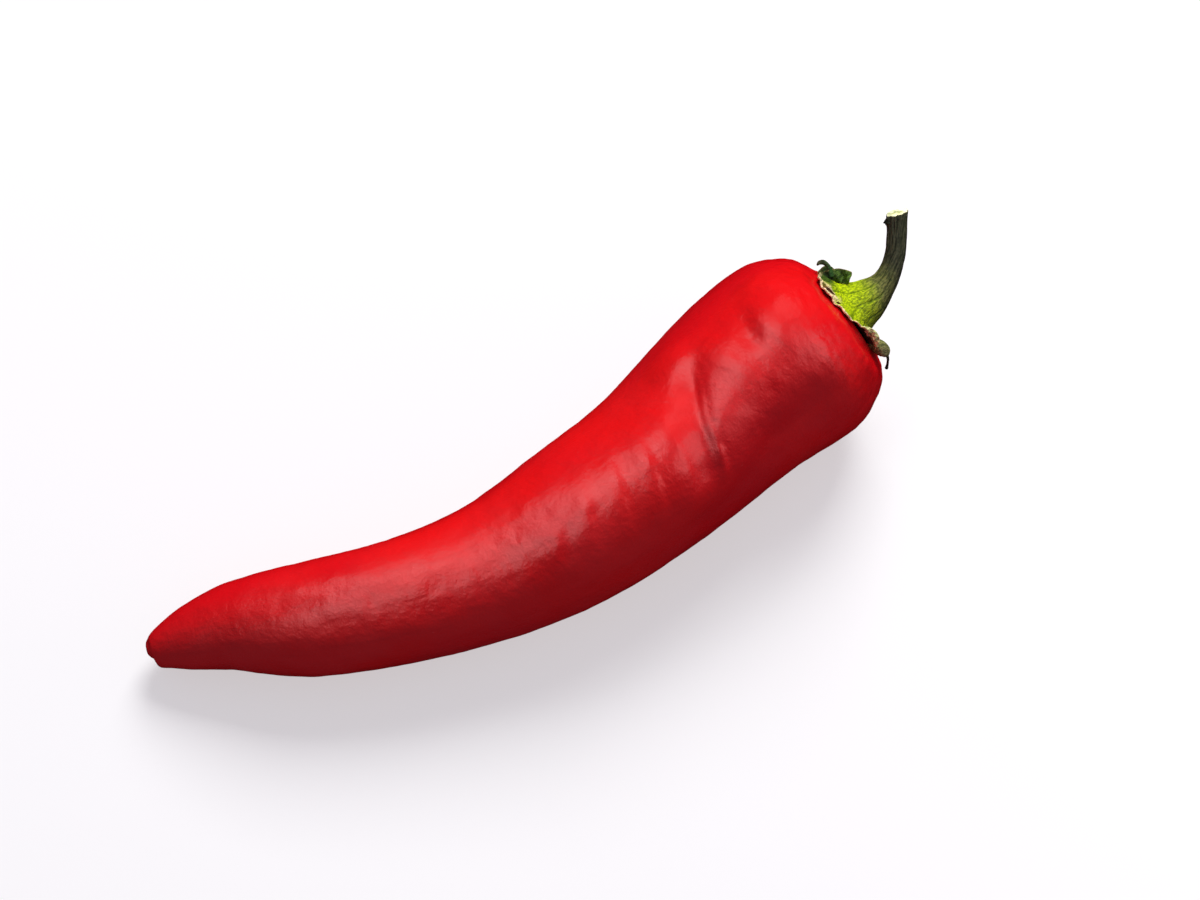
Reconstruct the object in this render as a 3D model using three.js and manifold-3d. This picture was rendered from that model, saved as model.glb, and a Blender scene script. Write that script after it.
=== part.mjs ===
// A whole, ripe sweet pepper of the long pointed kind, lying on its side with its cut stalk.
// Units are millimetres. +X runs from the tip to the stalk, +Z is up, and the pepper rests on z = 0.
//
// Everything is set out in the plant's own terms: how far along its curved axis a point lies, counted
// from the tip, how far out from that axis, and at what angle round it.

import * as THREE from "three";
import { mergeVertices } from "three/addons/utils/BufferGeometryUtils.js";
import Module from "manifold-3d";

const wasm = await Module();
wasm.setup();

// ---- Driving sizes ----

const FRUIT_LENGTH = 231; // chord by chord along the axis, from the tip to the calyx
const SHOULDER_RADIUS = 29.2; // the thickest place, a little before the calyx
const TIP_RADIUS = 5.1; // the blunt point
const LOBES = 3; // the seed chambers swell out as rounded lobes
const LOBE_SWELL = 0.05; // share of the radius that a lobe stands out by at the shoulder
const LOBE_TURN = THREE.MathUtils.degToRad(-7); // where the first lobe stands, from the +Y side

const CALYX_RADIUS = 14.2; // the green cap that sits on the shoulder
const CALYX_HEIGHT = 10; // from its seat to where the round stalk begins
const CALYX_EDGE = 1; // thickness of its leathery edge
const SEAT_DEPTH = 2; // the shoulder is dished by this much under the cap

const STALK_LENGTH = 25; // from the calyx to the cut
const STALK_RADIUS = 3;
const NECK_RADIUS = 5.4; // where the calyx has narrowed to the foot of the stalk
const STALK_RIBS = 5;
const STALK_RIB_SWELL = 0.07;

const GAP = 0.3; // clearance between pieces that touch

// ---- The plant's axis ----

// The fruit's axis: forward and sideways in shares of its length, and height in shares of the shoulder
// radius, so that the belly stays on the table when either size changes. Near the tip, at the middle of
// the bend and under the shoulder the axis lies a little lower than the belly is thick, and there the
// pepper bears on the table.
const FRUIT_COURSE = [
  [0, 0, 0.274],
  [0.104, -0.022, 0.438],
  [0.212, -0.061, 0.548],
  [0.325, -0.091, 0.627],
  [0.442, -0.1, 0.671],
  [0.563, -0.089, 0.798],
  [0.684, -0.063, 0.849],
  [0.814, -0.019, 0.925],
  [0.892, -0.001, 1.01],
  [0.965, 0.008, 1.17],
];

// From the calyx seat on, the axis climbs and swings round to the cut end: forward, sideways and up, in
// shares of the green part's length.
const GREEN_COURSE = [
  [0.199, 0.01, 0.073],
  [0.372, 0.06, 0.156],
  [0.505, 0.171, 0.253],
  [0.59, 0.307, 0.345],
  [0.67, 0.471, 0.442],
];

const GREEN_LENGTH = CALYX_HEIGHT + GAP + STALK_LENGTH;
const STEPS_PER_SPAN = 20;

const fruitPoints = FRUIT_COURSE.map(
  ([x, y, z]) => new THREE.Vector3(x * FRUIT_LENGTH, y * FRUIT_LENGTH, z * SHOULDER_RADIUS),
);
const seatPoint = fruitPoints.at(-1);
const greenPoints = GREEN_COURSE.map((p) =>
  new THREE.Vector3(...p).multiplyScalar(GREEN_LENGTH).add(seatPoint),
);
const axis = new THREE.CatmullRomCurve3([...fruitPoints, ...greenPoints]);
const spans = axis.points.length - 1;
axis.arcLengthDivisions = spans * STEPS_PER_SPAN;
const lengths = axis.getLengths();
const axisLength = lengths.at(-1);
const seatAlong = lengths[(fruitPoints.length - 1) * STEPS_PER_SPAN];

// A point at the given distance along the axis, at (across, over) in the section square to it there.
// Past either end the axis runs straight on.
function plantPoint(along, across, over) {
  const share = THREE.MathUtils.clamp(along / axisLength, 0, 1);
  const forward = axis.getTangentAt(share);
  const side = new THREE.Vector3(0, 0, 1).cross(forward).normalize();
  const top = forward.clone().cross(side);
  return axis
    .getPointAt(share)
    .addScaledVector(forward, along - share * axisLength)
    .addScaledVector(side, across)
    .addScaledVector(top, over);
}

// ---- Making solids ----

const FRUIT_SIDES = 44; // facets round the fruit, and round the calyx that lies on it
const STALK_SIDES = 30;
const TOOTH_SIDES = 10;

// Turns an outline of [along, radius] pairs, smoothed, on a lathe that has the distance along on Y. An
// end that stops short of the axis is closed flat.
function turnOutline(outline, stepsPerPoint, sides) {
  const curve = new THREE.SplineCurve(outline.map(([along, radius]) => new THREE.Vector2(radius, along)));
  const profile = curve.getPoints((outline.length - 1) * stepsPerPoint);
  for (const point of profile) point.x = Math.max(point.x, 0);
  if (profile[0].x > 0) profile.unshift(new THREE.Vector2(0, profile[0].y));
  if (profile.at(-1).x > 0) profile.push(new THREE.Vector2(0, profile.at(-1).y));
  return new THREE.LatheGeometry(profile, sides);
}

// Moves every corner of a geometry to where place(x, y, z) puts it.
function reshape(geometry, place) {
  const position = geometry.attributes.position;
  for (let i = 0; i < position.count; i += 1) {
    const point = place(position.getX(i), position.getY(i), position.getZ(i));
    position.setXYZ(i, point.x, point.y, point.z);
  }
  return geometry;
}

// Turns an outline and bends the result along the plant's axis. swell(angle, radius) gives the factor
// that the radius is multiplied by. The outline runs from the stalk end back, so that faces point out.
function growAlongAxis(outline, stepsPerPoint, sides, swell) {
  return reshape(turnOutline(outline.toReversed(), stepsPerPoint, sides), (across, along, over) => {
    const factor = swell(Math.atan2(over, across), Math.hypot(across, over));
    return plantPoint(along, across * factor, over * factor);
  });
}

function toSolid(geometry) {
  const bare = geometry.clone();
  bare.deleteAttribute("normal");
  bare.deleteAttribute("uv");
  const merged = mergeVertices(bare, 1e-3);
  return new wasm.Manifold(
    new wasm.Mesh({
      numProp: 3,
      vertProperties: merged.attributes.position.array,
      triVerts: new Uint32Array(merged.index.array),
    }),
  );
}

function toGeometry(solid) {
  const mesh = solid.getMesh();
  const geometry = new THREE.BufferGeometry();
  geometry.setAttribute("position", new THREE.BufferAttribute(mesh.vertProperties, 3));
  geometry.setIndex(new THREE.BufferAttribute(mesh.triVerts, 1));
  geometry.computeVertexNormals();
  return geometry;
}

// ---- Fruit ----

// The body swells from the blunt tip to the shoulder: shares of the length and of the shoulder radius.
const BODY_OUTLINE = [
  [0.03, 0.24],
  [0.065, 0.344],
  [0.13, 0.476],
  [0.208, 0.562],
  [0.312, 0.62],
  [0.424, 0.671],
  [0.545, 0.777],
  [0.662, 0.829],
  [0.784, 0.918],
  [0.866, 0.979],
  [0.909, 1],
];

// The shoulder rolls over towards the calyx: distance back from the seat, and radius, both in shares
// of the shoulder radius.
const SHOULDER_ROLL = [
  [0.479, 0.973],
  [0.291, 0.88],
  [0.137, 0.753],
];

function makeFruit() {
  const outline = [
    [0, 0],
    [0.2 * TIP_RADIUS, 0.67 * TIP_RADIUS],
    [0.6 * TIP_RADIUS, TIP_RADIUS],
    ...BODY_OUTLINE.map(([along, radius]) => [along * seatAlong, radius * SHOULDER_RADIUS]),
    ...SHOULDER_ROLL.map(([back, radius]) => [seatAlong - back * SHOULDER_RADIUS, radius * SHOULDER_RADIUS]),
    [seatAlong - 1, CALYX_RADIUS + 1.8],
    [seatAlong, CALYX_RADIUS - 1],
    [seatAlong - 0.25 * SEAT_DEPTH, 0.7 * CALYX_RADIUS],
    [seatAlong - 0.75 * SEAT_DEPTH, 0.45 * CALYX_RADIUS],
    [seatAlong - SEAT_DEPTH, 0],
  ];
  const lobed = (angle, radius) => {
    const growth = THREE.MathUtils.smoothstep(radius, CALYX_RADIUS, 0.9 * SHOULDER_RADIUS);
    return 1 + LOBE_SWELL * growth * Math.cos(LOBES * (angle - LOBE_TURN));
  };
  const whole = toSolid(growAlongAxis(outline, 3, FRUIT_SIDES, lobed));

  // Where the belly bears on the table its skin is pressed flat.
  const room = 4 * FRUIT_LENGTH;
  const below = new THREE.BoxGeometry(room, room, room).translate(0, 0, -room / 2);
  return toGeometry(whole.subtract(toSolid(below)));
}

// ---- Calyx ----

// The teeth round the cap's edge: where each stands round the axis, in degrees from the +Y side, how far
// it reaches past the edge, its half width, and how far its end curls up off the shoulder.
const TEETH = [
  { angle: 12, reach: 2.5, halfWidth: 1.2, curl: 3 },
  { angle: 45, reach: 1.5, halfWidth: 3.5, curl: 2.5 },
  { angle: 110, reach: 1.2, halfWidth: 3.5, curl: 0.8 },
  { angle: 192, reach: 4.5, halfWidth: 2.4, curl: 0.8 },
  { angle: 250, reach: 3.5, halfWidth: 4, curl: 1 },
  { angle: 312, reach: 3, halfWidth: 4, curl: 1.5 },
];
const TOOTH_THICKNESS = 1;
const TOOTH_OUTLINE = [
  [0, 0],
  [0.03, 0.7],
  [0.35, 1],
  [0.7, 0.7],
  [0.95, 0.25],
  [1, 0],
]; // share of its length, and share of its half width
const EDGE_WAVES = 6;
const EDGE_WAVE_SWELL = 0.03;

// One tooth: a slim pointed leaf, lying in the plane through the axis at its angle.
function makeTooth({ angle, reach, halfWidth, curl }) {
  const turn = THREE.MathUtils.degToRad(angle);
  const at = (radius, height) =>
    plantPoint(seatAlong + height, radius * Math.cos(turn), radius * Math.sin(turn));
  const course = new THREE.CatmullRomCurve3([
    at(0.6 * CALYX_RADIUS, GAP + 2.4),
    at(0.85 * CALYX_RADIUS, GAP + 1.4),
    at(CALYX_RADIUS + 0.45 * reach, GAP + 1.2 + 0.35 * curl),
    at(CALYX_RADIUS + reach, GAP + 1.2 + curl),
  ]);
  const across = at(0, 1).sub(at(0, 0)).cross(at(1, 0).sub(at(0, 0))).normalize();
  return reshape(turnOutline(TOOTH_OUTLINE, 3, TOOTH_SIDES), (width, along, thickness) => {
    const share = THREE.MathUtils.clamp(along, 0, 1);
    const through = across.clone().cross(course.getTangentAt(share));
    return course
      .getPointAt(share)
      .addScaledVector(across, width * halfWidth)
      .addScaledVector(through, (thickness * TOOTH_THICKNESS) / 2);
  });
}

function makeCalyx() {
  const edge = seatAlong + GAP;
  const top = seatAlong + CALYX_HEIGHT;
  const outline = [
    [seatAlong - SEAT_DEPTH + GAP, 0],
    [seatAlong - 0.75 * SEAT_DEPTH + GAP, 0.45 * CALYX_RADIUS],
    [seatAlong - 0.25 * SEAT_DEPTH + GAP, 0.7 * CALYX_RADIUS],
    [edge + 0.1, CALYX_RADIUS - 1],
    [edge + 0.2, CALYX_RADIUS],
    [edge + CALYX_EDGE, CALYX_RADIUS],
    [edge + 1.5 * CALYX_EDGE, 0.92 * CALYX_RADIUS],
    [seatAlong + 0.24 * CALYX_HEIGHT, 0.78 * CALYX_RADIUS],
    [seatAlong + 0.34 * CALYX_HEIGHT, 0.67 * CALYX_RADIUS],
    [seatAlong + 0.52 * CALYX_HEIGHT, 0.57 * CALYX_RADIUS],
    [seatAlong + 0.76 * CALYX_HEIGHT, 0.47 * CALYX_RADIUS],
    [top, NECK_RADIUS],
  ];
  const waved = (angle, radius) => {
    const outer = THREE.MathUtils.smoothstep(radius, 0.7 * CALYX_RADIUS, CALYX_RADIUS);
    return 1 + EDGE_WAVE_SWELL * outer * Math.cos(EDGE_WAVES * angle);
  };
  let calyx = toSolid(growAlongAxis(outline, 2, FRUIT_SIDES, waved));
  for (const tooth of TEETH) calyx = calyx.add(toSolid(makeTooth(tooth)));
  return toGeometry(calyx);
}

// ---- Stalk ----

function makeStalk() {
  const foot = seatAlong + CALYX_HEIGHT + GAP;
  const cut = foot + STALK_LENGTH;
  const outline = [
    [foot, NECK_RADIUS],
    [foot + 0.14 * STALK_LENGTH, 1.4 * STALK_RADIUS],
    [foot + 0.3 * STALK_LENGTH, 1.13 * STALK_RADIUS],
    [foot + 0.5 * STALK_LENGTH, STALK_RADIUS],
    [foot + 0.75 * STALK_LENGTH, 0.97 * STALK_RADIUS],
    [cut, 1.05 * STALK_RADIUS],
  ];
  const ribbed = (angle) => 1 + STALK_RIB_SWELL * Math.cos(STALK_RIBS * angle);
  return growAlongAxis(outline, 3, STALK_SIDES, ribbed);
}

// ---- The pepper ----

const skin = new THREE.MeshStandardMaterial({ color: 0xd60f18, roughness: 0.28, metalness: 0 });
const leafGreen = new THREE.MeshStandardMaterial({ color: 0x7f9430, roughness: 0.6, metalness: 0 });
const stalkGreen = new THREE.MeshStandardMaterial({ color: 0x474f2c, roughness: 0.65, metalness: 0 });

function piece(name, geometry, material) {
  const mesh = new THREE.Mesh(geometry, material);
  mesh.name = name;
  return mesh;
}

const pepper = new THREE.Group();
pepper.add(piece("fruit", makeFruit(), skin));
pepper.add(piece("calyx", makeCalyx(), leafGreen));
pepper.add(piece("stalk", makeStalk(), stalkGreen));

// The origin is under the middle of the pepper, on the table.
const box = new THREE.Box3().setFromObject(pepper, true);
pepper.position.set(-(box.min.x + box.max.x) / 2, -(box.min.y + box.max.y) / 2, -box.min.z);

const part = new THREE.Group();
part.add(pepper);

export default part;
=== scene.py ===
# A whole, ripe sweet pepper of the long pointed kind, with its green calyx and its cut stalk, lying on
# its side on a plain white table. Shapes are worked out in millimetres and put into metres at the end.

import bpy
import numpy as np
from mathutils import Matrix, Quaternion, Vector


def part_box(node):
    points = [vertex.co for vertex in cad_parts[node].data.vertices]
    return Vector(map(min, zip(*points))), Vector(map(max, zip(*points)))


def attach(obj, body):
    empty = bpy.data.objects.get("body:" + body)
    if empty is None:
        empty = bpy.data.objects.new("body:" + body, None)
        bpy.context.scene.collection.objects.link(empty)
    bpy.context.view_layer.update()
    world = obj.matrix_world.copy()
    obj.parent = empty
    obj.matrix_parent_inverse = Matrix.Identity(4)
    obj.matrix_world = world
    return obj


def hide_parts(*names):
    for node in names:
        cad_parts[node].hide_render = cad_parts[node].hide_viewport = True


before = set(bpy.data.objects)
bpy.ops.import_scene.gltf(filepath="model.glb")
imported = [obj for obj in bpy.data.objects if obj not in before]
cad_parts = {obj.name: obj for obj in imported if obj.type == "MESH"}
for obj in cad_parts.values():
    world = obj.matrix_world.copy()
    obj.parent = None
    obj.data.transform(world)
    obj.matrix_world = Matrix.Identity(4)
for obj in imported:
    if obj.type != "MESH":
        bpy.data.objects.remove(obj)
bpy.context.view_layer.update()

# ---- The fruit ----
# A hollow berry, one piece from its blunt tip to its shoulder. Its firm wall swells into three soft
# lobes over the seed chambers, and its tough skin is thin, waxy and glossy. It lies on its own belly.

FRUIT_LENGTH = 231.0
SHOULDER_RADIUS = 29.2
TIP_RADIUS = 5.1
CALYX_RADIUS = 14.2
SEAT_DEPTH = 2.0
LOBE_SWELL = 0.05
LOBE_TURN = -7.0
GREEN_LENGTH = 35.3

# The plant's axis, from the tip to the calyx seat: forward and sideways in shares of the fruit's length,
# up in shares of the shoulder radius. Then on to the cut, in shares of the green part's length.
FRUIT_COURSE = [
    (0, 0, 0.274),
    (0.104, -0.022, 0.438),
    (0.212, -0.061, 0.548),
    (0.325, -0.091, 0.627),
    (0.442, -0.1, 0.671),
    (0.563, -0.089, 0.798),
    (0.684, -0.063, 0.849),
    (0.814, -0.019, 0.925),
    (0.892, -0.001, 1.01),
    (0.965, 0.008, 1.17),
]
GREEN_COURSE = [
    (0.199, 0.01, 0.073),
    (0.372, 0.06, 0.156),
    (0.505, 0.171, 0.253),
    (0.59, 0.307, 0.345),
    (0.67, 0.471, 0.442),
]

# The fruit's outline: distance along the axis and radius, in shares of the length and of the shoulder
# radius, and then the roll of the shoulder, whose distances count back from the seat in shoulder radii.
BODY_OUTLINE = [
    (0.03, 0.24),
    (0.065, 0.344),
    (0.13, 0.476),
    (0.208, 0.562),
    (0.312, 0.62),
    (0.424, 0.671),
    (0.545, 0.777),
    (0.662, 0.829),
    (0.784, 0.918),
    (0.866, 0.979),
    (0.909, 1),
]
SHOULDER_ROLL = [(0.479, 0.973), (0.291, 0.88), (0.137, 0.753)]

FRUIT_ROWS = 400
FRUIT_COLUMNS = 240


def smooth_through(points, steps):
    """A smooth line through the points. Between two of them it is a cubic, and its slope at each comes
    from the neighbours' distances, weighted by their square roots, so that it never overshoots much."""
    points = np.asarray(points, float)
    row = np.vstack([2 * points[0] - points[1], points, 2 * points[-1] - points[-2]])
    gap = np.sqrt(np.linalg.norm(np.diff(row, axis=0), axis=1))[:, None]
    a, b, c, d = row[:-3], row[1:-2], row[2:-1], row[3:]
    before, here, after = gap[:-2], gap[1:-1], gap[2:]
    leave = here * ((b - a) / before - (c - a) / (before + here) + (c - b) / here)
    arrive = here * ((c - b) / here - (d - b) / (here + after) + (d - c) / after)
    t = np.linspace(0, 1, steps, endpoint=False)[None, :, None]
    b, c, leave, arrive = b[:, None], c[:, None], leave[:, None], arrive[:, None]
    bend = 3 * (c - b) - 2 * leave - arrive
    twist = 2 * (b - c) + leave + arrive
    line = b + leave * t + bend * t**2 + twist * t**3
    return np.vstack([line.reshape(-1, points.shape[1]), points[-1:]])


def run_along(line):
    """The distance along a line of points, from its first point to each of them."""
    return np.concatenate([[0], np.cumsum(np.linalg.norm(np.diff(line, axis=0), axis=1))])


def ease(value, start=0.0, end=1.0):
    """0 up to start, 1 from end on, and a smooth step between: 3t^2 - 2t^3."""
    t = np.clip((value - start) / (end - start), 0, 1)
    return t * t * (3 - 2 * t)


def at_place(places, line, columns):
    """The columns of a line of points, read off at the given places along it."""
    run = run_along(line)
    return np.stack([np.interp(places, run, column) for column in columns], -1)


AXIS_STEPS = 300
course = [(x * FRUIT_LENGTH, y * FRUIT_LENGTH, z * SHOULDER_RADIUS) for x, y, z in FRUIT_COURSE]
course += [tuple(np.array(course[-1]) + np.array(step) * GREEN_LENGTH) for step in GREEN_COURSE]
axis_line = smooth_through(course, AXIS_STEPS)
axis_run = run_along(axis_line)
axis_ahead = np.gradient(axis_line, axis_run, axis=0)
seat = axis_run[AXIS_STEPS * (len(FRUIT_COURSE) - 1)]


def plant_points(along, across, over):
    """Points in the plant's own terms: a distance along its axis, then (across, over) in the section
    square to the axis there. Across is level and over points up, both set square to the axis."""
    along, across, over = np.broadcast_arrays(along, across, over)
    held = np.clip(along, 0, axis_run[-1])
    middle = at_place(held, axis_line, axis_line.T)
    ahead = at_place(held, axis_line, axis_ahead.T)
    ahead /= np.linalg.norm(ahead, axis=-1, keepdims=True)
    side = np.cross((0, 0, 1), ahead)
    side /= np.linalg.norm(side, axis=-1, keepdims=True)
    top = np.cross(ahead, side)
    past = (along - held)[..., None]
    return middle + ahead * past + side * across[..., None] + top * over[..., None]


outline = [(0, 0), (0.2 * TIP_RADIUS, 0.67 * TIP_RADIUS), (0.6 * TIP_RADIUS, TIP_RADIUS)]
outline += [(along * seat, radius * SHOULDER_RADIUS) for along, radius in BODY_OUTLINE]
outline += [(seat - back * SHOULDER_RADIUS, radius * SHOULDER_RADIUS) for back, radius in SHOULDER_ROLL]

# Under the calyx the skin turns in over the shoulder's edge to its seat, a shallow dish.
outline += [
    (seat - 1, CALYX_RADIUS + 1.8),
    (seat, CALYX_RADIUS - 1),
    (seat - 0.25 * SEAT_DEPTH, 0.7 * CALYX_RADIUS),
    (seat - 0.75 * SEAT_DEPTH, 0.45 * CALYX_RADIUS),
    (seat - SEAT_DEPTH, 0),
]
profile = smooth_through(outline, 200)
skin_run = np.linspace(0, run_along(profile)[-1], FRUIT_ROWS)
skin_along, skin_radius = at_place(skin_run, profile, profile.T).T
skin_radius = np.maximum(skin_radius, 0)
skin_angle = np.linspace(-180, 180, FRUIT_COLUMNS, endpoint=False)

# One row for each run and one column for each angle, so that the two spread into a grid.
skin_run = skin_run[:, None]
skin_along = skin_along[:, None]
skin_radius = skin_radius[:, None]
skin_angle = skin_angle[None, :]


def lobed_skin(along, radius, angle):
    """The bare shape of the fruit: the outline turned round the axis, its radius swollen by a cosine
    of three times the angle. The lobes grow out of the round body towards the shoulder."""
    growth = ease(radius, CALYX_RADIUS, 0.9 * SHOULDER_RADIUS)
    swollen = radius * (1 + LOBE_SWELL * growth * np.cos(np.radians(3 * (angle - LOBE_TURN))))
    turn = np.radians(angle)
    return plant_points(along, swollen * np.cos(turn), swollen * np.sin(turn))


# The fruit's middle is brought over the middle of the place that the frame gives it.
fruit_low, fruit_high = (np.array(corner) * 1000 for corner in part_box("fruit"))
bare = lobed_skin(skin_along, skin_radius, skin_angle).reshape(-1, 3)
home = (fruit_low + fruit_high - bare.min(0) - bare.max(0)) / 2
home[2] = 0
axis_line += home


def spot(run, angle, length, width):
    """A soft round swelling, 1 at its middle: exp(-(x/length)^2 - (y/width)^2), with x along the skin
    and y round it, both in millimetres."""
    reach = np.interp(run, skin_run[:, 0], skin_radius[:, 0])
    round_it = np.radians((skin_angle - angle + 180) % 360 - 180) * reach
    return np.exp(-(((skin_run - run) / length) ** 2) - (round_it / width) ** 2)


def fold(crest, before, after, ends=14):
    """A fold across the skin, 1 along its crest, which passes through the (angle, run) points. It rises
    over the distance before, on the tip's side, and falls over the distance after: exp(-(s/d)^2). It
    fades out over the last few degrees at both ends."""
    angles, runs = smooth_through(crest, 12).T
    away = skin_run - np.interp(skin_angle, angles, runs)
    begin = ease(skin_angle, angles[0], angles[0] + ends)
    finish = ease(-skin_angle, -angles[-1], ends - angles[-1])
    return begin * finish * np.exp(-((away / np.where(away < 0, before, after)) ** 2))


def uneven(points, size, seed, waves=16):
    """Soft chance unevenness, mostly between -1 and 1: a sum of plane waves in chance directions, each
    about the given size in millimetres long, over the square root of their number."""
    chance = np.random.default_rng(seed)
    total = 0
    for _ in range(waves):
        direction = chance.normal(size=3)
        direction /= np.linalg.norm(direction)
        length = size * chance.uniform(0.7, 1.5)
        total = total + np.sin(2 * np.pi * (points @ direction) / length + chance.uniform(0, 2 * np.pi))
    return total / np.sqrt(waves)


# The plant straightened out: along, and the section's two ways. Chance patterns are worked out in it, so
# that they follow the fruit and close round it without a seam.
skin_turn = np.radians(skin_angle)
grown = np.stack(
    np.broadcast_arrays(skin_along, skin_radius * np.cos(skin_turn), skin_radius * np.sin(skin_turn)), -1
)

# Soft swellings of the skin, and hollows where the height is below 0. Each is a height, a distance along
# the skin, an angle, and the spot's length and width. First come those of the long body, then the knobs
# of the shoulder and the hollows between them.
BODY_SWELLINGS = [
    (1.3, 160, 98, 15, 16),
    (1.3, 163, 137, 12, 9),
    (0.9, 75, 66, 28, 9),
    (-0.9, 78, 117, 30, 9),
    (-1.0, 160, 36, 12, 10),
    (1.3, 199, 70, 22, 13),
    (-1.4, 203, 146, 15, 8),
    (-0.7, 189, 138, 7, 9),
    (1.6, 184, 56, 8, 8),
    (0.8, 194, 88, 6, 9),
    (1.1, 211, 92, 8, 9),
    (0.8, 217, 58, 6, 6),
    (0.7, 228, 162, 14, 12),
]

# Along the calyx's upper edge the shoulder is dented, and it swells below the curled end of that edge.
RIM_SWELLINGS = [
    (-1.7, 241, 80, 6.5, 8),
    (1.6, 240, 180, 8, 13),
    (-1.5, 240.5, 151, 3.2, 7),
]

# The end of the tip is a little cocked up, and the scar of the flower dents it.
TIP_SWELLINGS = [
    (-0.9, 24, 205, 16, 9),
    (0.7, 20, 25, 15, 8),
    (-1.4, 2.8, 192, 1.5, 2.0),
    (0.7, 5.5, 225, 2.2, 3),
]
relief = 0
for swelling, *place in BODY_SWELLINGS + RIM_SWELLINGS + TIP_SWELLINGS:
    relief = relief + swelling * spot(*place)

# The waist: a valley across the body, and behind it a thin crease that ends in a sharper lip. On the
# shoulder, a shallow groove between two knobs.
relief -= 2.1 * fold([(60, 190), (86, 180), (106, 174), (122, 170), (150, 166)], 7, 4.5, 24)
relief += 0.3 * fold([(70, 187), (85, 183), (103, 177), (116, 175), (141, 172)], 1.1, 0.9)
relief += 0.45 * fold([(118, 175), (130, 173), (146, 171)], 2.4, 1.2, 8)
relief -= 0.6 * fold([(66, 207), (83, 204.5), (102, 202)], 3.2, 3.2)

# Shallow folds across the middle of the body, where it bends: they rise slowly and drop fast.
MIDDLE_FOLDS = [
    ([(92, 129), (110, 127), (138, 122)], 0.3),
    ([(84, 139), (104, 137), (134, 132)], 0.4),
    ([(78, 149), (104, 146), (140, 141)], 0.4),
    ([(80, 158), (104, 156), (146, 150)], 0.4),
    ([(78, 168), (104, 166), (140, 161)], 0.35),
]
for crest, swelling in MIDDLE_FOLDS:
    relief += swelling * fold(crest, 5, 1.8, 20)

# Shallow furrows run down from the calyx between the lobes.
furrow_reach = ease(skin_run, 190, 240) * ease(-skin_run, -262, -246)
for furrow in (60, 180, -60):
    off = np.radians((skin_angle - furrow - LOBE_TURN + 180) % 360 - 180) * skin_radius
    relief -= 0.7 * furrow_reach * np.exp(-((off / 6) ** 2))

# Chance unevenness: long soft swells, and small ones that crowd together near the calyx.
body = ease(skin_radius, 2, 12)
crowding = 1 + 3 * ease(skin_run, 212, 236)
relief += 0.35 * body * uneven(grown * (0.6, 1, 1), 30, 5)
relief += 0.06 * body * uneven(grown, 9, 11)
relief += 0.02 * body * uneven(grown, 3.6, 23) * crowding

# The tip is drawn in round the scar of the flower.
relief -= 0.35 * np.exp(-(((skin_run - 4.2) / 0.8) ** 2)) * (1 + 0.5 * np.sin(5 * skin_turn + 1))


def outward(grid):
    """The unit normal at each point of a grid of rows and closed columns, pointing away from the axis."""
    down = np.gradient(grid, axis=0)
    round_it = np.roll(grid, -1, 1) - np.roll(grid, 1, 1)
    normal = np.cross(round_it, down)
    normal[0] = normal[1].mean(0)
    normal[-1] = normal[-2].mean(0)
    return normal / np.maximum(np.linalg.norm(normal, axis=-1, keepdims=True), 1e-9)


def lie_flat(grid, softness=0.6):
    """Nothing goes below the table: a height z becomes half of z + sqrt(z^2 + softness^2), which presses
    the belly flat and leaves the rest nearly as it is. Then the lowest point is put on the table."""
    z = grid[..., 2]
    pressed = 0.5 * (z + np.sqrt(z**2 + softness**2))
    grid[..., 2] = pressed - pressed.min()
    return grid


fruit_grid = lobed_skin(skin_along, skin_radius, skin_angle)
fruit_grid = lie_flat(fruit_grid + outward(fruit_grid) * relief[..., None])


def make_piece(name, grids, **values):
    """One mesh of closed shells, each from a grid of points in millimetres. A grid's rows run from pole
    to pole and its columns close round, and its first and last row are each drawn together into one
    point. Each value is a list with one array for each grid, kept as an attribute of the points."""
    points, faces, kept, first = [], [], {key: [] for key in values}, 0
    for number, grid in enumerate(grids):
        rows, columns = grid.shape[:2]
        ring = first + 1 + np.arange((rows - 2) * columns).reshape(rows - 2, columns)
        last = first + 1 + (rows - 2) * columns
        here, there = ring[:-1], ring[1:]
        quads = np.stack([here, np.roll(here, -1, 1), np.roll(there, -1, 1), there], -1)
        start = np.stack([np.full(columns, first), np.roll(ring[0], -1), ring[0]], -1)
        end = np.stack([np.full(columns, last), ring[-1], np.roll(ring[-1], -1)], -1)
        faces += quads.reshape(-1, 4).tolist() + start.tolist() + end.tolist()
        points += [grid[0].mean(0)[None], grid[1:-1].reshape(-1, 3), grid[-1].mean(0)[None]]
        for key, arrays in values.items():
            value = np.broadcast_to(arrays[number], (rows, columns) + np.shape(arrays[number])[2:])
            flat = value[1:-1].reshape((-1,) + value.shape[2:])
            kept[key] += [value[0].mean(0)[None], flat, value[-1].mean(0)[None]]
        first = last + 1
    mesh = bpy.data.meshes.new(name)
    mesh.from_pydata(np.concatenate(points) / 1000, [], faces)
    for key, arrays in kept.items():
        value = np.concatenate(arrays)
        form, field = ("FLOAT", "value") if value.ndim == 1 else ("FLOAT_VECTOR", "vector")
        mesh.attributes.new(key, form, "POINT").data.foreach_set(field, value.ravel())
    mesh.shade_smooth()
    mesh.validate()
    thing = bpy.data.objects.new(name, mesh)
    bpy.context.scene.collection.objects.link(thing)
    return thing


def new_material(name, **settings):
    """A material with one Principled shader, whose plain settings are set on its own sockets."""
    material = bpy.data.materials.new(name)
    material.use_nodes = True
    shader = material.node_tree.nodes["Principled BSDF"]
    for key, value in settings.items():
        shader.inputs[key.replace("_", " ")].default_value = value
    return material, shader


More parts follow.
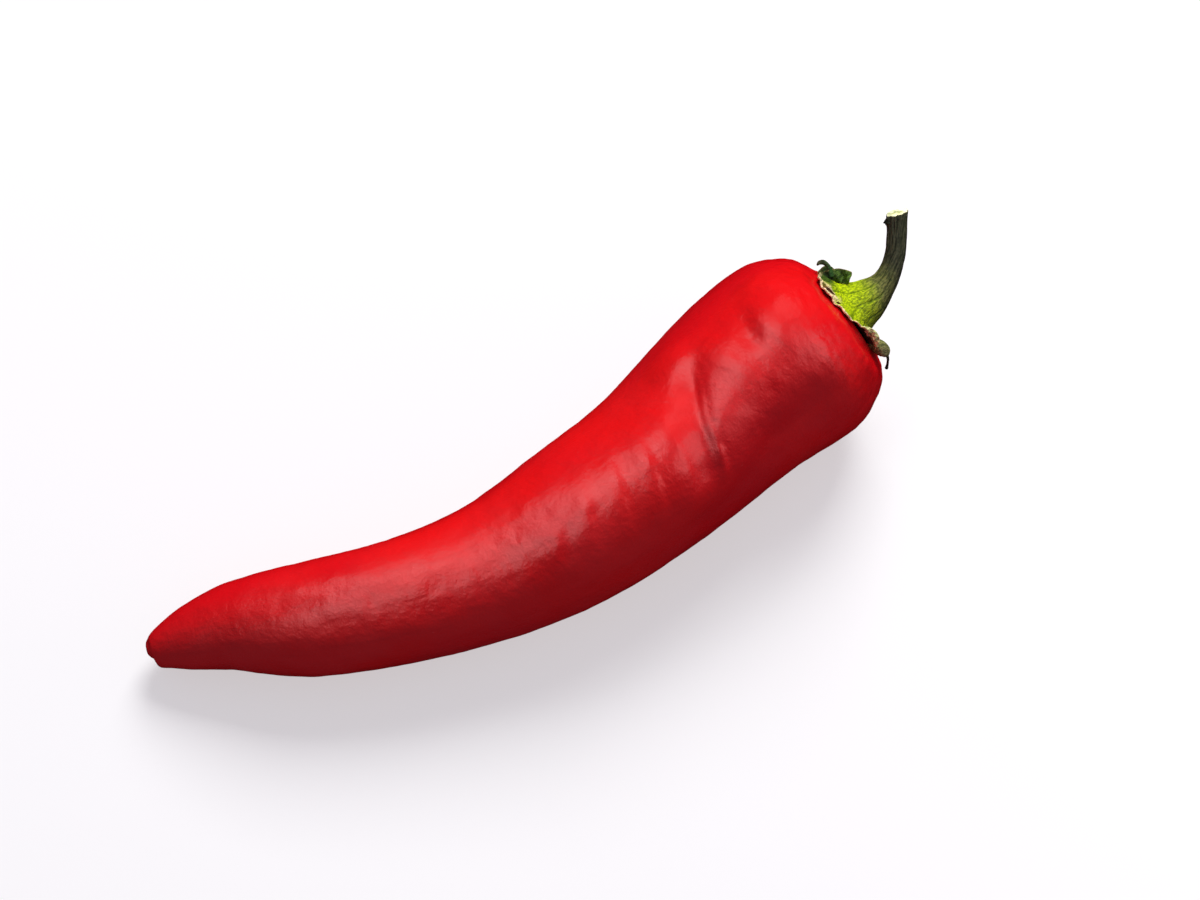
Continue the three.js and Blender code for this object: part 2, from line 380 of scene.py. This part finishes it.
def add_node(material, kind, inputs=None, **settings):
    """A node with its settings; each input is a number, a colour, or another node's output socket."""
    node = material.node_tree.nodes.new(kind)
    for key, value in settings.items():
        setattr(node, key, value)
    for key, value in (inputs or {}).items():
        if isinstance(value, bpy.types.NodeSocket):
            material.node_tree.links.new(value, node.inputs[key])
        else:
            node.inputs[key].default_value = value
    return node


def scaled(material, vector, factors):
    """A vector or a colour whose three values are multiplied by the three factors."""
    node = add_node(material, "ShaderNodeVectorMath", {0: vector, 1: factors}, operation="MULTIPLY")
    return node.outputs[0]


def noise(material, vector, size, stretch=(1, 1, 1), detail=3.0, roughness=0.5):
    """Chance noise from 0 to 1 on a vector in millimetres, each cell about the given size, times the
    stretch in each direction."""
    squeezed = scaled(material, vector, tuple(1 / (size * s) for s in stretch))
    inputs = {"Vector": squeezed, "Scale": 1.0, "Detail": detail, "Roughness": roughness}
    return add_node(material, "ShaderNodeTexNoise", inputs).outputs["Fac"]


def blend(material, share, low, high):
    """The colour low where share is 0, and high where it is 1."""
    node = add_node(material, "ShaderNodeMix", data_type="RGBA")
    node.inputs["Factor"].default_value = 0
    for key, value in (("Factor", share), ("A", low), ("B", high)):
        socket = [s for s in node.inputs if s.name == key and s.enabled][0]
        if isinstance(value, bpy.types.NodeSocket):
            material.node_tree.links.new(value, socket)
        else:
            socket.default_value = value
    return [s for s in node.outputs if s.enabled][0]


def spread(material, value, low, high, to_low=0.0, to_high=1.0):
    """The part of a value from low to high, stretched smoothly onto to_low to to_high."""
    inputs = {"Value": value, "From Min": low, "From Max": high, "To Min": to_low, "To Max": to_high}
    return add_node(material, "ShaderNodeMapRange", inputs, interpolation_type="SMOOTHSTEP").outputs[0]


def raised(material, height, depth, under=None):
    """A bump of the given depth in metres, on top of the bump under it."""
    inputs = {"Height": height, "Distance": depth, "Strength": 1.0}
    if under is not None:
        inputs["Normal"] = under
    return add_node(material, "ShaderNodeBump", inputs).outputs["Normal"]


CRIMSON = (0.66, 0.002, 0.005, 1)
SCARLET = (0.74, 0.0035, 0.004, 1)
LINE_RED = (0.58, 0.0015, 0.004, 1)
FLECK_RED = (0.80, 0.008, 0.008, 1)
SPECK_PINK = (0.86, 0.10, 0.09, 1)


def skin_material():
    """Ripe red skin: crimson and scarlet mixed in soft clouds, with faint lines along the fruit, paler
    flecks and a few fine pink specks, a wax whose gloss varies, and a very fine orange-peel surface."""
    material, shader = new_material("pepper_skin", IOR=1.45, Coat_Weight=0.35, Coat_Roughness=0.27)
    where = add_node(material, "ShaderNodeAttribute", attribute_name="grown").outputs["Vector"]
    clouds = noise(material, where, 26, (1.8, 1, 1), 2)
    lines = noise(material, where, 2.2, (14, 1, 1), 3)
    flecks = noise(material, where, 1.3, (1, 1, 1), 2)
    specks = noise(material, where, 0.7, (1.6, 1, 1), 1)
    peel = noise(material, where, 0.55, (1, 1, 1), 1)
    dimples = noise(material, where, 2.4, (1, 1, 1), 2)
    clouded = blend(material, spread(material, clouds, 0.35, 0.65), CRIMSON, SCARLET)
    lined = blend(material, spread(material, lines, 0.55, 0.8, 0, 0.35), clouded, LINE_RED)
    flecked = blend(material, spread(material, flecks, 0.62, 0.8, 0, 0.3), lined, FLECK_RED)
    colour = blend(material, spread(material, specks, 0.76, 0.86, 0, 0.4), flecked, SPECK_PINK)
    rough = spread(material, noise(material, where, 14, (1.5, 1, 1), 4), 0.3, 0.7, 0.28, 0.42)
    bumps = raised(material, lines, 0.00006)
    bumps = raised(material, dimples, 0.00018, bumps)
    bumps = raised(material, flecks, 0.00010, bumps)
    bumps = raised(material, peel, 0.00003, bumps)
    links = material.node_tree.links
    links.new(colour, shader.inputs["Base Color"])
    links.new(rough, shader.inputs["Roughness"])
    links.new(bumps, shader.inputs["Normal"])
    return material


fruit = make_piece("pepper_fruit", [fruit_grid], grown=[grown])
fruit.data.materials.append(skin_material())
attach(fruit, "root")
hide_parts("fruit")

# ---- The calyx ----
# The green cap of the flower, grown fast to the shoulder: a fleshy ribbed funnel that narrows into the
# stalk, and a thin brim with a few withered teeth, whose upper edge has dried to curled cream paper.

CALYX_HEIGHT = 10.0

# The radius of the green part by its height above the seat, from the foot of the funnel to the cut.
GREEN_OUTLINE = [
    (1.6, 9.9),
    (2.4, 9.0),
    (3.6, 7.9),
    (5.2, 7.1),
    (7.5, 6.25),
    (10, 5.3),
    (13.5, 3.95),
    (17, 3.3),
    (20.5, 3.0),
    (27, 2.85),
    (32, 2.9),
    (35.3, 3.1),
]
green_line = smooth_through(GREEN_OUTLINE, 40)

# The brim's edge, once round the plant: angle, radius and height above the seat. It hugs the shoulder,
# except on the outer side of the bend, where the dry paper has curled up.
BRIM_EDGE = [
    (-15, 13.9, 0.1),
    (22, 13.9, 0.3),
    (45, 15.2, -0.6),
    (62, 16.6, -1.6),
    (78, 17.2, -2.0),
    (92, 16.6, -1.7),
    (104, 17.1, -1.3),
    (118, 16.6, -0.4),
    (130, 15.8, 0.9),
    (140, 14.7, 2.4),
    (149, 14.6, 3.4),
    (158, 15.2, 3.3),
    (166, 15.8, 2.3),
    (178, 15.2, 1.6),
    (205, 14.5, 0.9),
    (250, 15.0, 0.2),
    (282, 13.9, 0.1),
    (312, 14.8, 0.1),
    (345, 13.9, 0.1),
]


def near(angle, middle, half):
    """1 at the middle angle, falling softly to 0 at half degrees away on either side."""
    off = np.abs((angle - middle + 180) % 360 - 180)
    return ease(-off, -half, 0)


def vein_pattern(height, angle):
    """How far the surface stands up, from 0 in a groove to 1 on a rib. Nine grooves run up the green part
    and waver a little, with finer ones between: each is exp(-(sine/width)^2) of the angle."""
    waver = 5 * np.sin(height / 3.1 + 1) + 3 * np.sin(height / 1.7 + np.radians(2 * angle))
    groove = np.exp(-((np.sin(np.radians(4.5 * (angle + waver))) / 0.3) ** 2))
    fine = np.exp(-((np.sin(np.radians(10.5 * (angle - 0.7 * waver))) / 0.4) ** 2))
    return 1 - 0.7 * groove - 0.3 * fine


RIB_SHARE = 0.06
KNOB_HEIGHT = 0.28


def green_radius(height, angle):
    """The green part's radius: its outline, plus ribs in a share of it that fade out at the foot of the
    funnel, plus small knobs where the funnel meets its brim on the upper side."""
    radius = np.interp(height, green_line[:, 0], green_line[:, 1])
    ribs = RIB_SHARE * radius * (vein_pattern(height, angle) - 0.6) * ease(height, 1.6, 5)
    crossing = np.sin(np.radians(13 * angle)) * np.sin(1.9 * height + np.radians(5 * angle))
    knobs = KNOB_HEIGHT * crossing * ease(-height, -6.5, -3.5) * near(angle, 140, 60)
    return radius + ribs + knobs


def grown_at(height, angle, radius):
    """Where points lie on the straightened plant, in millimetres, for patterns that run along it."""
    turn = np.radians(angle)
    return np.stack(np.broadcast_arrays(height, radius * np.cos(turn), radius * np.sin(turn)), -1)


CAP_COLUMNS = 420
FUNNEL_ROWS = 70
BRIM_ROWS = 43
UNDER_ROWS = 30

# How the brim runs round the plant: its edge is ruffled in and out and wavers up and down, more so on
# the papery side, and it curls up where the paper is driest.
cap_angle = np.linspace(-180, 180, CAP_COLUMNS, endpoint=False)[None, :]
cap_turn = np.radians(cap_angle)
papery = np.clip(2 * near(cap_angle, 108, 85), 0, 1)
curl = near(cap_angle, 151, 24)
ruffle = 0.5 * np.sin(13 * cap_turn + 0.5) + 0.35 * np.sin(22 * cap_turn + 2.1)
ruffle = ruffle + 0.25 * np.sin(37 * cap_turn)
waver = 0.6 * np.sin(17 * cap_turn + 1.4) + 0.4 * np.sin(29 * cap_turn)
brim_angle, brim_radius, brim_height = smooth_through(BRIM_EDGE, 30).T
round_angle = (cap_angle - brim_angle[0]) % 360 + brim_angle[0]
rim_radius = np.interp(round_angle, brim_angle, brim_radius) + (0.25 + 0.35 * papery) * ruffle
rim_height = np.interp(round_angle, brim_angle, brim_height) + (0.1 + 0.35 * papery) * waver

# The cap's section, from the middle of its top down the funnel to its foot, then out along the brim to
# the edge, and back under it to the middle. On its way out the brim first comes down to the skin, and
# lifts off it again where its edge is higher than that. Its top is a little above the edge's height.
FUNNEL_FOOT = 2.0
SKIN_LEVEL = 0.4
BRIM_TOP = 0.4
down_share = np.linspace(0, 1, FUNNEL_ROWS)[:, None]
funnel_height = CALYX_HEIGHT - (CALYX_HEIGHT - FUNNEL_FOOT) * down_share + 0 * cap_angle
funnel_radius = green_radius(funnel_height, cap_angle)
foot_radius = funnel_radius[-1:]

out_share = np.linspace(0, 1, BRIM_ROWS + 1)[1:, None]
level = np.minimum(rim_height, SKIN_LEVEL)
settled = FUNNEL_FOOT + (level + BRIM_TOP - FUNNEL_FOOT) * ease(out_share**0.75)
lifted = (rim_height - level) * ease(out_share, 0.35, 0.95)
crossing = np.sin(9 * out_share + 31 * cap_turn) * np.sin(17 * cap_turn + 4 * out_share)
crumple = 0.22 * papery * crossing * ease(out_share, 0.15, 0.5)
top_height = settled + lifted + crumple
top_radius = foot_radius + (rim_radius - foot_radius) * out_share - 0.9 * curl * ease(out_share, 0.85, 1)

# The edge juts out a little, and the underside starts just inside it. The underside comes level with
# the seat, and towards the middle it sinks into the shoulder's dish.
edge_height = rim_height + 0.15
edge_radius = top_radius[-1:] + 0.05
in_share = np.linspace(0, 1, UNDER_ROWS)[:, None]
under_radius = (edge_radius - 0.25) * (1 - in_share) + 0.01
tucked = (rim_height - 0.05) * (1 - ease(in_share, 0, 0.25))
under_height = tucked - 0.1 - 1.2 * ease(in_share, 0.3, 0.9)

# The rows are taken from the underside up, which makes the faces look outwards.
cap_top = np.full_like(cap_turn, CALYX_HEIGHT)
cap_height = np.vstack([cap_top, funnel_height, top_height, edge_height, under_height])[::-1]
cap_radius = np.vstack([0 * cap_turn, funnel_radius, top_radius, edge_radius, under_radius])[::-1]
cap_grid = plant_points(seat + cap_height, cap_radius * np.cos(cap_turn), cap_radius * np.sin(cap_turn))

# Colours, as linear red, green and blue.
LIME = (0.34, 0.47, 0.002)
MOSS = (0.125, 0.14, 0.035)
BARK = (0.046, 0.052, 0.024)
# Factors on the green colour: painted shade in the grooves and painted light on the ribs.
GROOVE_PAINTED_SHADE = (0.42, 0.5, 0.3)
RIB_PAINTED_LIGHT = (1.08, 1.08, 1)
PAPER = (0.78, 0.62, 0.33)
PAPER_BROWN = (0.17, 0.10, 0.02)
PAPER_COOL = (0.60, 0.66, 0.28)
PAPER_PAINTED_SHADE = (0.045, 0.014, 0.008)
LEAF = (0.045, 0.09, 0.010)


def mix(low, high, share):
    """The colour low where share is 0, and high where it is 1."""
    share = np.asarray(share)[..., None]
    return np.asarray(low) * (1 - share) + np.asarray(high) * share


def green_tint_and_shade(height, angle):
    """Colour of the funnel and stalk: lime on the funnel, turning to moss and then to the dull bark of
    the stalk, with painted shade in the grooves and on the side away from the light, which also turns to
    moss and bark sooner, and painted light on the ribs."""
    ribs = vein_pattern(height, angle)
    away = np.cos(np.radians(angle - 215))
    # Painted shade: the side away from the light turns to moss and bark sooner.
    age_and_shade = height + 1.5 * ribs + 3.0 * ease(away, -0.6, 0.9)
    colour = mix(mix(LIME, MOSS, ease(age_and_shade, 8, 15)), BARK, ease(age_and_shade, 15, 23))
    # Painted shade darkens the grooves and painted light brightens the ribs.
    colour = colour * mix(GROOVE_PAINTED_SHADE, RIB_PAINTED_LIGHT, ease(ribs, 0.1, 0.8))
    # Painted shade darkens the side away from the light.
    painted_shade = 0.7 * ease(away, 0.3, 0.9) * ease(height, 0, 5)
    return colour * (1 - painted_shade)[..., None]


# The brim's colours, laid over the funnel's: leaf at its sides and underneath, the dry patch on top, the
# curl, painted shade on the brim's underside, and last the pale paper along its edge.
cap_grown = grown_at(cap_height, cap_angle, cap_radius)
from_edge = np.maximum(rim_radius - cap_radius, 0)
blotches = uneven(cap_grown, 3.2, 41)
leafy = np.clip(2 * near(cap_angle, 22, 60) + near(cap_angle, 255, 90), 0, 1)
dried = 1.6 * near(cap_angle, 79, 22) * ease(-from_edge + 0.8 * blotches, -5.5, -3.5)
curled = np.clip(1.5 * curl, 0, 1)
# Painted shade under the brim, full from under two millimetres inside its edge inwards.
underside_painted_shade = (np.arange(len(cap_height)) < UNDER_ROWS)[:, None] * ease(from_edge, 0.7, 1.7)
edging = papery * ease(-from_edge, -1.25 - 0.9 * curl, -0.6 - 0.8 * curl)

cap_tint = green_tint_and_shade(cap_height, cap_angle)
cap_tint = mix(cap_tint, LEAF, leafy * ease(cap_radius, 9.5, 11.5))
dry_paper = mix(PAPER, PAPER_BROWN, ease(blotches, 0.1, 1.0))
cap_tint = mix(cap_tint, dry_paper, np.clip(dried * ease(cap_radius, 9.5, 11), 0, 1))
curled_paper = mix(PAPER, PAPER_BROWN, ease(blotches, -0.8, 0.3))
cap_tint = mix(cap_tint, curled_paper, curled * ease(cap_radius, 9.8, 11.5))
# The brim's underside gets its painted shade.
cap_tint = mix(cap_tint, PAPER_PAINTED_SHADE, underside_painted_shade)
cap_tint = mix(cap_tint, mix(PAPER, PAPER_COOL, curled), edging)


TOOTH_STEPS = 30
TOOTH_COLUMNS = 28


def blade(path, widths, thickness, roll=0, facing=None, rumple=0.0):
    """A tooth or a hook: a flattened tube along a smooth path of (angle, radius, height) points round
    the plant's axis. Half its width is given for each point. Its flat side looks along the plant, or out
    at the angle that it is facing. Roll bends the flat section round an arc of that many degrees to
    either side, and rumple lifts it in crossing waves. Returned with it are how far along the path each
    point is, and how far out towards its edges, both from 0 to 1."""
    angle, out, up, half = smooth_through(np.column_stack([path, widths]), TOOTH_STEPS).T
    line = plant_points(seat + up, out * np.cos(np.radians(angle)), out * np.sin(np.radians(angle)))
    run = run_along(line)
    ahead = np.gradient(line, axis=0)
    ahead /= np.linalg.norm(ahead, axis=1)[:, None]
    middle = plant_points(seat + up, 0, 0)
    if facing is None:
        flat_normal = plant_points(seat + up + 1, 0, 0) - middle
    else:
        toward = np.radians(facing)
        flat_normal = plant_points(seat + up, np.cos(toward), np.sin(toward)) - middle
    across = np.cross(flat_normal, ahead)
    across /= np.linalg.norm(across, axis=1)[:, None]
    through = np.cross(ahead, across)
    turn = np.linspace(0, 2 * np.pi, TOOTH_COLUMNS, endpoint=False)
    wide = half[:, None] * np.cos(turn)
    thick = 0.5 * thickness * np.sin(turn) * np.sqrt(half / half.max())[:, None]
    long_waves = np.sin(1.7 * run[:, None] + 2.6 * np.cos(turn))
    short_waves = np.sin(3.9 * run[:, None] - 3.4 * np.cos(turn))
    thick = thick + rumple * (long_waves + 0.6 * short_waves)
    if roll:
        bend = np.radians(roll) * np.cos(turn)
        arc = half[:, None] / np.radians(roll)
        wide = (arc - thick) * np.sin(bend)
        thick = arc - (arc - thick) * np.cos(bend)
    grid = line[:, None] + across[:, None] * wide[..., None] + through[:, None] * thick[..., None]
    along = np.broadcast_to(run[:, None] / run[-1], wide.shape)
    aside = np.broadcast_to(np.abs(np.cos(turn)), wide.shape)
    return grid, along, aside


# The teeth: two leafy ones and a thin hook on the inner side of the bend, a rolled one with a hooked tip
# on the outer side, two underneath that hug the shoulder, and the curled strip of dry paper. A tint is
# three colours: at the root, at the end and along the edges.
TEETH = {
    "flap": dict(
        path=[
            (34, 11.6, -1.0),
            (35, 11.3, 1.2),
            (37, 10.6, 3.6),
            (39, 9.4, 5.6),
            (42, 8.6, 6.7),
            (43, 8.4, 7.0),
        ],
        widths=[2.6, 2.5, 2.2, 2.1, 1.9, 1.2],
        thickness=0.7,
        facing=118,
        rumple=0.34,
    ),
    "fold_behind": dict(
        path=[(28, 12.8, -0.8), (27, 13.2, 0.4), (26, 13.4, 1.8), (28, 12.4, 3.2)],
        widths=[1.6, 1.7, 1.5, 0.5],
        thickness=0.8,
        facing=100,
        rumple=0.2,
    ),
    "hook": dict(
        path=[
            (40, 11.6, 1.8),
            (36, 13.0, 2.4),
            (33, 14.6, 2.5),
            (33, 16.0, 2.1),
            (36, 16.9, 1.3),
            (41, 17.2, 0.5),
        ],
        widths=[0.75, 0.62, 0.62, 0.72, 0.66, 0.3],
        thickness=0.9,
        facing=110,
    ),
    "rolled": dict(
        path=[
            (178, 12.4, 1.2),
            (176, 13.6, 2.3),
            (174, 15.2, 3.2),
            (174, 16.9, 3.7),
            (175, 18.2, 3.6),
            (176, 18.7, 3.4),
        ],
        widths=[1.5, 1.9, 2.15, 2.1, 1.5, 0.5],
        thickness=3.9,
        facing=112,
        rumple=0.1,
    ),
    "rolled_hook": dict(
        path=[
            (175, 17.8, 4.0),
            (178, 19.0, 3.8),
            (183, 19.6, 3.0),
            (187, 20.0, 2.0),
            (188, 20.3, 1.2),
            (186, 20.2, 0.6),
        ],
        widths=[0.6, 0.42, 0.36, 0.42, 0.5, 0.2],
        thickness=0.8,
        facing=112,
    ),
    "under_left": dict(
        path=[(250, 10, 1.5), (250, 13, 1.1), (251, 15.6, 0.2), (252, 17.6, -0.6)],
        widths=[4.0, 3.8, 2.4, 0.3],
        thickness=0.9,
        roll=25,
        rumple=0.12,
    ),
    "under_right": dict(
        path=[(312, 10, 1.5), (312, 13, 1.1), (311, 15.4, 0.5), (309, 17, 0.7)],
        widths=[4.0, 3.8, 2.4, 0.3],
        thickness=0.9,
        roll=25,
        rumple=0.12,
    ),
    "paper_curl": dict(
        path=[
            (136, 14.6, 2.0),
            (142, 14.6, 3.3),
            (149, 14.7, 4.1),
            (157, 15.4, 4.1),
            (164, 16.0, 3.1),
            (169, 16.0, 1.9),
        ],
        widths=[0.3, 0.55, 0.75, 0.8, 0.6, 0.3],
        thickness=0.55,
        facing=112,
        rumple=0.12,
    ),
}
UNDER_TINT = ((0.05, 0.10, 0.012), (0.20, 0.15, 0.05), (0.16, 0.14, 0.05))
TOOTH_TINTS = {
    "flap": ((0.03, 0.06, 0.010), (0.07, 0.15, 0.014), (0.26, 0.20, 0.06)),
    "fold_behind": ((0.05, 0.09, 0.02), (0.03, 0.07, 0.012), (0.34, 0.28, 0.12)),
    "hook": ((0.02, 0.075, 0.010), (0.055, 0.055, 0.026), (0.055, 0.06, 0.028)),
    "rolled": ((0.16, 0.19, 0.05), (0.14, 0.13, 0.045), (0.15, 0.18, 0.05)),
    "rolled_hook": ((0.02, 0.016, 0.008), (0.012, 0.010, 0.008), (0.02, 0.016, 0.008)),
    "under_left": UNDER_TINT,
    "under_right": UNDER_TINT,
    "paper_curl": ((0.62, 0.66, 0.25), (0.56, 0.60, 0.22), (0.74, 0.74, 0.36)),
}
tooth_grids, tooth_tints = [], []
for name, tooth in TEETH.items():
    grid, along, aside = blade(**tooth)
    root, end, edge = TOOTH_TINTS[name]
    body_tint = mix(root, end, ease(along, 0.2, 0.9))
    tooth_grids.append(grid)
    tooth_tints.append(mix(body_tint, edge, 0.8 * ease(aside, 0.86, 0.99)))


def green_material(name, rough):
    """Living green tissue: the tint that the points carry, painted shade included, streaked along the
    plant and freckled, over a finely creased, nearly matt surface."""
    material, shader = new_material(name, IOR=1.42, Specular_IOR_Level=0.35)
    where = add_node(material, "ShaderNodeAttribute", attribute_name="grown").outputs["Vector"]
    tint = add_node(material, "ShaderNodeAttribute", attribute_name="tint").outputs["Color"]
    streaks = noise(material, where, 0.5, (8, 1, 1), 3)
    freckles = noise(material, where, 0.6, (1.5, 1, 1), 4)
    creases = noise(material, where, 0.35, (2, 1, 1), 3, 0.6)
    dark = scaled(material, tint, (0.5, 0.55, 0.5))
    light = scaled(material, tint, (1.5, 1.4, 1.5))
    freckled = add_node(material, "ShaderNodeMath", {0: streaks, 1: freckles}, operation="ADD").outputs[0]
    colour = blend(material, spread(material, freckled, 0.8, 1.22), dark, light)
    gloss = spread(material, freckles, 0.3, 0.7, rough - 0.08, rough + 0.1)
    bumps = raised(material, streaks, 0.0003)
    bumps = raised(material, creases, 0.00015, bumps)
    links = material.node_tree.links
    links.new(colour, shader.inputs["Base Color"])
    links.new(gloss, shader.inputs["Roughness"])
    links.new(bumps, shader.inputs["Normal"])
    return material


calyx = make_piece(
    "pepper_calyx",
    [cap_grid] + tooth_grids,
    tint=[cap_tint] + tooth_tints,
    grown=[cap_grown] + tooth_grids,
)
calyx.data.materials.append(green_material("calyx_green", 0.5))
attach(calyx, "root")
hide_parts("calyx")

# ---- The stalk ----
# The fruit's woody stalk grows out of the calyx, ribbed and grey-green, and ends where a knife cut it
# off at a slant: a pale moist face with a ring of bark, and beside it the black scar of a side shoot.

STALK_TOP = 35.0
CUT_SLANT = 0.42
CUT_FACING = 50.0
SCAR_ANGLE = 14.0
SCAR_HEIGHT = 32.9
CREAM = (0.86, 0.88, 0.50)
PITH = (0.72, 0.75, 0.34)

STALK_ROWS = 260
STALK_COLUMNS = 200
SUNK = 0.1

# The stalk starts just under the top of the funnel. Ribs of bark grow up it, and the scar stands out.
stalk_angle = np.linspace(-180, 180, STALK_COLUMNS, endpoint=False)[None, :]
stalk_turn = np.radians(stalk_angle)
rise = np.linspace(0, 1, STALK_ROWS)[:, None]
side_height = CALYX_HEIGHT - SUNK + (STALK_TOP - CALYX_HEIGHT + SUNK) * rise + 0 * stalk_turn
side_radius = green_radius(side_height, stalk_angle)
bark = 0.09 * ease(side_height, 11, 17)
scar = near(stalk_angle, SCAR_ANGLE, 40) * np.exp(-(((side_height - SCAR_HEIGHT) / 1.2) ** 2))
side_radius = side_radius + bark * np.sin(19 * stalk_turn + 2.5 * np.sin(side_height / 2.3))
side_radius = side_radius + 0.95 * scar * (1 + 0.3 * np.sin(4 * side_height + 5 * stalk_turn))

# The cut face closes the stalk's top with a shallow dish, and two rows close its foot in the funnel.
face_share = np.array([0.97, 0.9, 0.8, 0.65, 0.5, 0.35, 0.2, 0.0])[:, None]
face_rows = len(face_share)
face_radius = side_radius[-1:] * face_share
dish = 0.25 * ease(1 - face_share, 0, 0.4)
face_height = STALK_TOP + 0.12 - dish + 0.1 * np.sin(9 * stalk_turn) * face_share
foot_radius = side_radius[:1] * np.array([0.0, 0.7])[:, None]
foot_height = np.full_like(foot_radius, CALYX_HEIGHT - SUNK)

# Near its top everything leans by its distance from the axis, which makes the cut slant.
stalk_height = np.vstack([foot_height, side_height, face_height])
stalk_radius = np.vstack([foot_radius, side_radius, face_radius])
lean = CUT_SLANT * stalk_radius * np.cos(np.radians(stalk_angle - CUT_FACING))
stalk_grid = plant_points(
    seat + stalk_height - lean * ease(stalk_height, STALK_TOP - 6, STALK_TOP),
    stalk_radius * np.cos(stalk_turn),
    stalk_radius * np.sin(stalk_turn),
)

# The bark is black at the scar. The face is cream round its edge and yellower in the pith, and on it the
# streaks are drawn together, so that it looks smooth.
# The bark carries the green part's painted shade on the side away from the light and in its grooves.
barked = green_tint_and_shade(stalk_height[:-face_rows], stalk_angle)
black = np.clip(1.6 * np.vstack([0 * foot_radius, scar]), 0, 0.9)
face_tint = mix(CREAM, PITH, ease(1 - face_share + 0 * stalk_angle, 0.3, 0.6))
stalk_tint = np.vstack([barked * (1 - black)[..., None], face_tint])
streak_share = np.ones((len(stalk_height), 1))
streak_share[-face_rows:] = 0.2
stalk_grown = grown_at(stalk_height, stalk_angle, stalk_radius * streak_share)

stalk = make_piece("pepper_stalk", [stalk_grid], tint=[stalk_tint], grown=[stalk_grown])
stalk.data.materials.append(green_material("stalk_bark", 0.55))
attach(stalk, "root")
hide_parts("stalk")

# ---- Table, lights and camera ----

bpy.ops.mesh.primitive_circle_add(vertices=128, radius=3.0, fill_type="NGON")
table = bpy.context.object
table.name = "table"
table_material, table_shader = new_material("white_table", Roughness=0.9, Specular_IOR_Level=0.1)
table_shader.inputs["Base Color"].default_value = (0.45, 0.45, 0.45, 1)
table_shader.inputs["Emission Color"].default_value = (1, 1, 1, 1)
table_shader.inputs["Emission Strength"].default_value = 0.52
table.data.materials.append(table_material)
table.visible_glossy = False
table.visible_diffuse = False

look_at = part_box("fruit")[0] + Vector((0.1416, 0.0409, 0.022))
to_camera = Vector((-0.1786, -0.3830, 0.9063)).normalized()
CAMERA_DISTANCE = 0.821
image_right = Vector((0, 0, 1)).cross(to_camera).normalized()
image_up = to_camera.cross(image_right)

camera_data = bpy.data.cameras.new("camera")
camera_data.lens = 85
camera_data.sensor_width = 36
camera = bpy.data.objects.new("camera", camera_data)
camera.location = look_at + to_camera * CAMERA_DISTANCE
camera.rotation_euler = to_camera.to_track_quat("Z", "Y").to_euler()
bpy.context.scene.collection.objects.link(camera)
bpy.context.scene.camera = camera


def panel_light(name, right, up, distance, width, height, brightness, turn=0.0, shine=False):
    """A soft rectangular light aimed at the pepper. Right and up are in degrees from the camera's own
    direction, as the camera sees them, and brightness is the glow of its surface. A light that shines
    only shows as a gloss, and one that doesn't only lights the colours up."""
    right, up = np.radians(right), np.radians(up)
    toward = to_camera * float(np.cos(right) * np.cos(up)) + image_right * float(np.sin(right))
    toward = toward + image_up * float(np.cos(right) * np.sin(up))
    data = bpy.data.lights.new(name, "AREA")
    data.shape = "RECTANGLE"
    data.size, data.size_y = width, height
    data.energy = brightness * width * height * np.pi
    lamp = bpy.data.objects.new(name, data)
    lamp.location = look_at + toward * distance
    aim = toward.to_track_quat("Z", "Y")
    aim = Quaternion(toward, float(np.radians(turn))) @ aim
    lamp.rotation_euler = aim.to_euler()
    lamp.visible_glossy = shine
    lamp.visible_diffuse = not shine
    lamp.visible_camera = False
    bpy.context.scene.collection.objects.link(lamp)


# Three softboxes make the highlights. The key light from above and behind, a small fill from the right
# and the tinted world light the colours.
panel_light("softbox", -14, 12, 0.9, 0.40, 0.80, 2.2, 33, shine=True)
panel_light("top_softbox", -17, 42, 0.9, 0.42, 0.60, 1.9, 10, shine=True)
panel_light("side_softbox", 44, 22, 0.9, 0.6, 0.6, 1.5, 0, shine=True)
panel_light("key", 10, 71, 2.0, 1.1, 1.1, 14.0)
panel_light("side_fill", 70, 5, 0.35, 0.2, 0.2, 1.2)

world = bpy.data.worlds.new("studio")
world.use_nodes = True
world.node_tree.nodes["Background"].inputs["Color"].default_value = (1.35, 1.05, 1.5, 1)
world.node_tree.nodes["Background"].inputs["Strength"].default_value = 0.18
bpy.context.scene.world = world
world.cycles_visibility.glossy = False
bpy.context.scene.view_settings.view_transform = "Standard"
